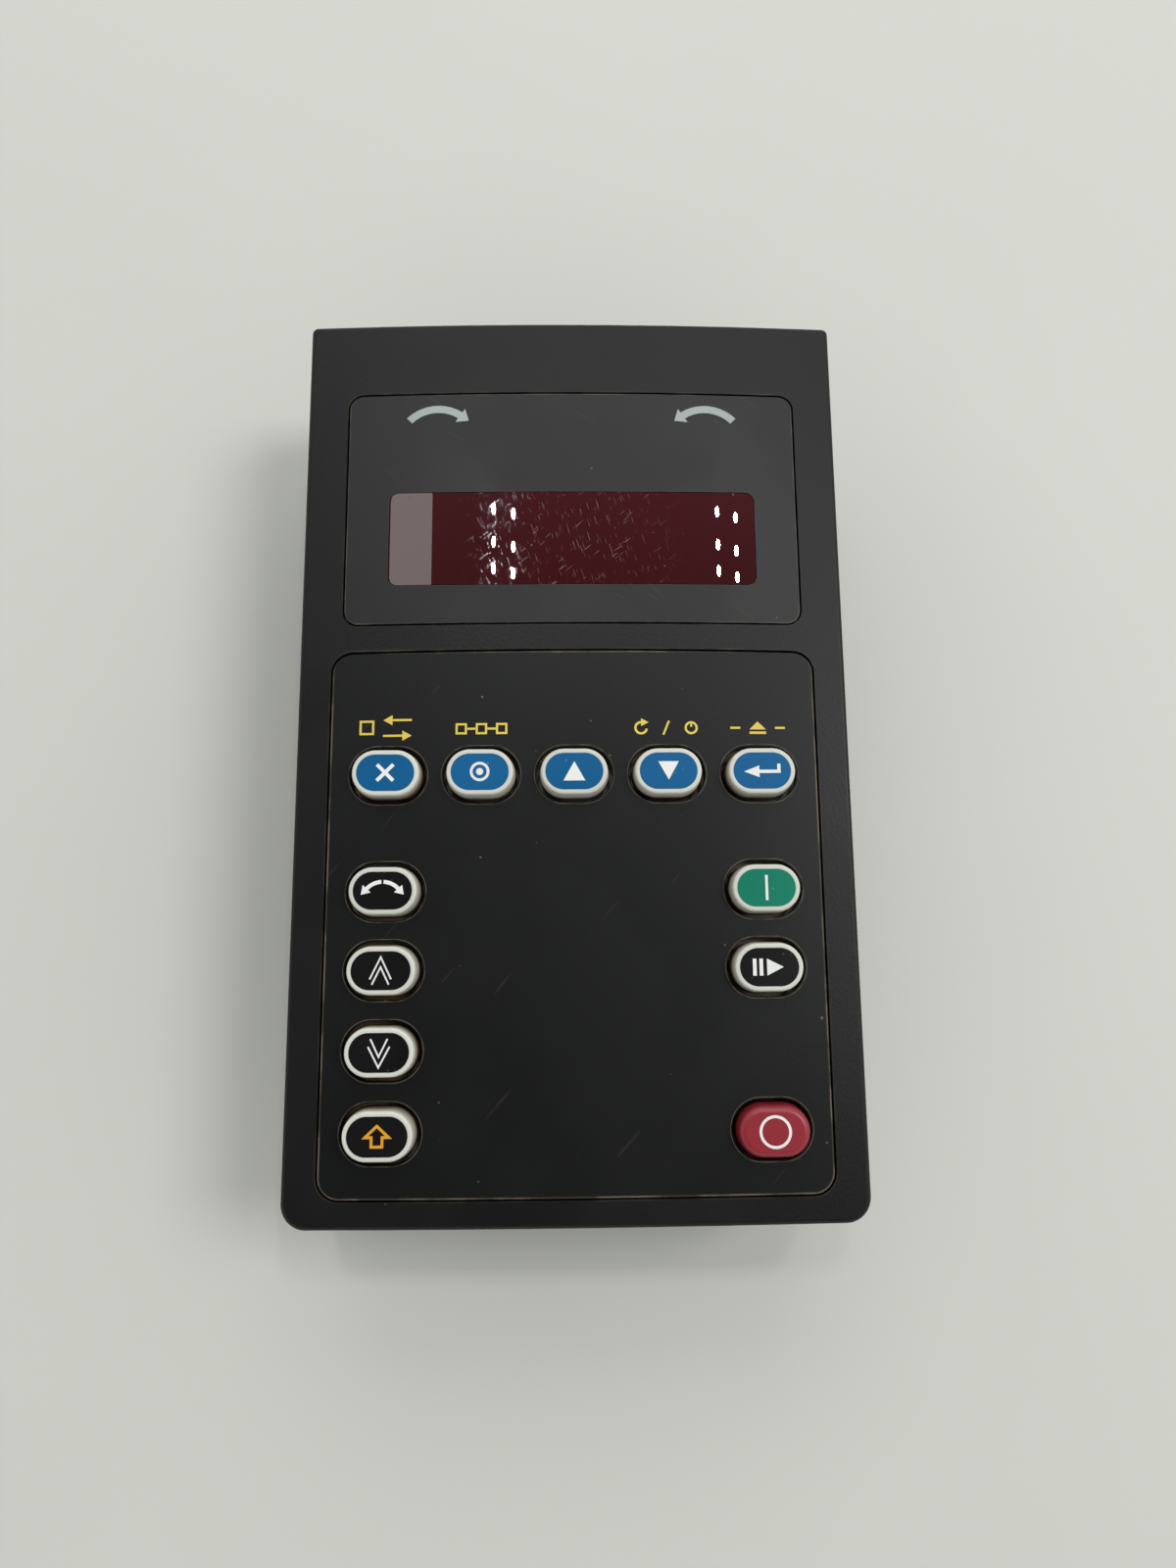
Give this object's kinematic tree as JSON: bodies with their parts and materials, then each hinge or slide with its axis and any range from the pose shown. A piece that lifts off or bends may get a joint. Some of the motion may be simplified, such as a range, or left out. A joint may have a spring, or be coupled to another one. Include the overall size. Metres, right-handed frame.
{
  "type": "drive keypad",
  "caption": "Handheld operator keypad for a motor drive: crowned case, red display window, press keys with stop and start, guide rails and a round data port.",
  "frame": {"origin": "on the back face, under the middle of the front case", "axes": "+X across the keypad to the right as read, +Y towards its top end, +Z out of its face"},
  "size_m": [0.0662, 0.1094, 0.0268],
  "materials": {
    "case_plastic": "fine-grained charcoal moulding",
    "panel_plastic": "satin dark grey panel",
    "plate_plastic": "near-black satin plate",
    "window_plastic": "clear dark red lens",
    "key_rubber": "off-white key",
    "stop_rubber": "red key",
    "carbon": "carbon-loaded rubber",
    "mat_rubber": "grey silicone",
    "board_laminate": "green coated laminate",
    "contact_carbon": "printed carbon",
    "display_plastic": "dark display block",
    "segment_plastic": "unlit diffusing bar",
    "shroud_plastic": "black light shield",
    "lamp_plastic": "clear pale lamp",
    "chip_plastic": "black chip moulding",
    "lead_metal": "tinned leads",
    "can_metal": "bright can",
    "part_ceramic": "small fired parts",
    "port_plastic": "black port moulding",
    "port_metal": "plated sleeve",
    "contact_metal": "gilt contact",
    "screw_steel": "zinc-plated"
  },
  "bodies": {
    "root": {"front_bezel": "case_plastic", "rear_housing": "case_plastic", "display_panel": "panel_plastic", "display_window": "window_plastic", "keypad_plate": "plate_plastic", "key_mat": "mat_rubber", "key_contacts": "contact_carbon", "main_board": "board_laminate", "digit_block_left": "display_plastic", "digit_block_right": "display_plastic", "digit_segments": "segment_plastic", "display_shroud": "shroud_plastic", "direction_lamps": "lamp_plastic", "controller_chip": "chip_plastic", "driver_chips": "chip_plastic", "chip_leads": "lead_metal", "capacitor": "can_metal", "crystal": "can_metal", "chip_parts": "part_ceramic", "port_body": "port_plastic", "port_shell": "port_metal", "port_contacts": "contact_metal", "board_screws": "screw_steel", "case_screws": "screw_steel"},
    "escape_key": {"key_escape": "key_rubber", "pill_escape": "carbon"},
    "select_key": {"key_select": "key_rubber", "pill_select": "carbon"},
    "up_key": {"key_up": "key_rubber", "pill_up": "carbon"},
    "down_key": {"key_down": "key_rubber", "pill_down": "carbon"},
    "enter_key": {"key_enter": "key_rubber", "pill_enter": "carbon"},
    "direction_key": {"key_direction": "key_rubber", "pill_direction": "carbon"},
    "increase_key": {"key_increase": "key_rubber", "pill_increase": "carbon"},
    "decrease_key": {"key_decrease": "key_rubber", "pill_decrease": "carbon"},
    "alternate_key": {"key_alternate": "key_rubber", "pill_alternate": "carbon"},
    "start_key": {"key_start": "key_rubber", "pill_start": "carbon"},
    "jog_key": {"key_jog": "key_rubber", "pill_jog": "carbon"},
    "stop_key": {"key_stop": "stop_rubber", "pill_stop": "carbon"}
  },
  "joints": [
    {"name": "escape_press", "type": "slide", "parent": "root", "child": "escape_key", "axis": [0, 0, -1], "range_m": [0, 0.0012], "stiffness_N_per_m": 1000},
    {"name": "select_press", "type": "slide", "parent": "root", "child": "select_key", "axis": [0, 0, -1], "range_m": [0, 0.0012], "stiffness_N_per_m": 1000},
    {"name": "up_press", "type": "slide", "parent": "root", "child": "up_key", "axis": [0, 0, -1], "range_m": [0, 0.0012], "stiffness_N_per_m": 1000},
    {"name": "down_press", "type": "slide", "parent": "root", "child": "down_key", "axis": [0, 0, -1], "range_m": [0, 0.0012], "stiffness_N_per_m": 1000},
    {"name": "enter_press", "type": "slide", "parent": "root", "child": "enter_key", "axis": [0, 0, -1], "range_m": [0, 0.0012], "stiffness_N_per_m": 1000},
    {"name": "direction_press", "type": "slide", "parent": "root", "child": "direction_key", "axis": [0, 0, -1], "range_m": [0, 0.0012], "stiffness_N_per_m": 1000},
    {"name": "increase_press", "type": "slide", "parent": "root", "child": "increase_key", "axis": [0, 0, -1], "range_m": [0, 0.0012], "stiffness_N_per_m": 1000},
    {"name": "decrease_press", "type": "slide", "parent": "root", "child": "decrease_key", "axis": [0, 0, -1], "range_m": [0, 0.0012], "stiffness_N_per_m": 1000},
    {"name": "alternate_press", "type": "slide", "parent": "root", "child": "alternate_key", "axis": [0, 0, -1], "range_m": [0, 0.0012], "stiffness_N_per_m": 1000},
    {"name": "start_press", "type": "slide", "parent": "root", "child": "start_key", "axis": [0, 0, -1], "range_m": [0, 0.0012], "stiffness_N_per_m": 1000},
    {"name": "jog_press", "type": "slide", "parent": "root", "child": "jog_key", "axis": [0, 0, -1], "range_m": [0, 0.0012], "stiffness_N_per_m": 1000},
    {"name": "stop_press", "type": "slide", "parent": "root", "child": "stop_key", "axis": [0, 0, -1], "range_m": [0, 0.0012], "stiffness_N_per_m": 1000}
  ]
}
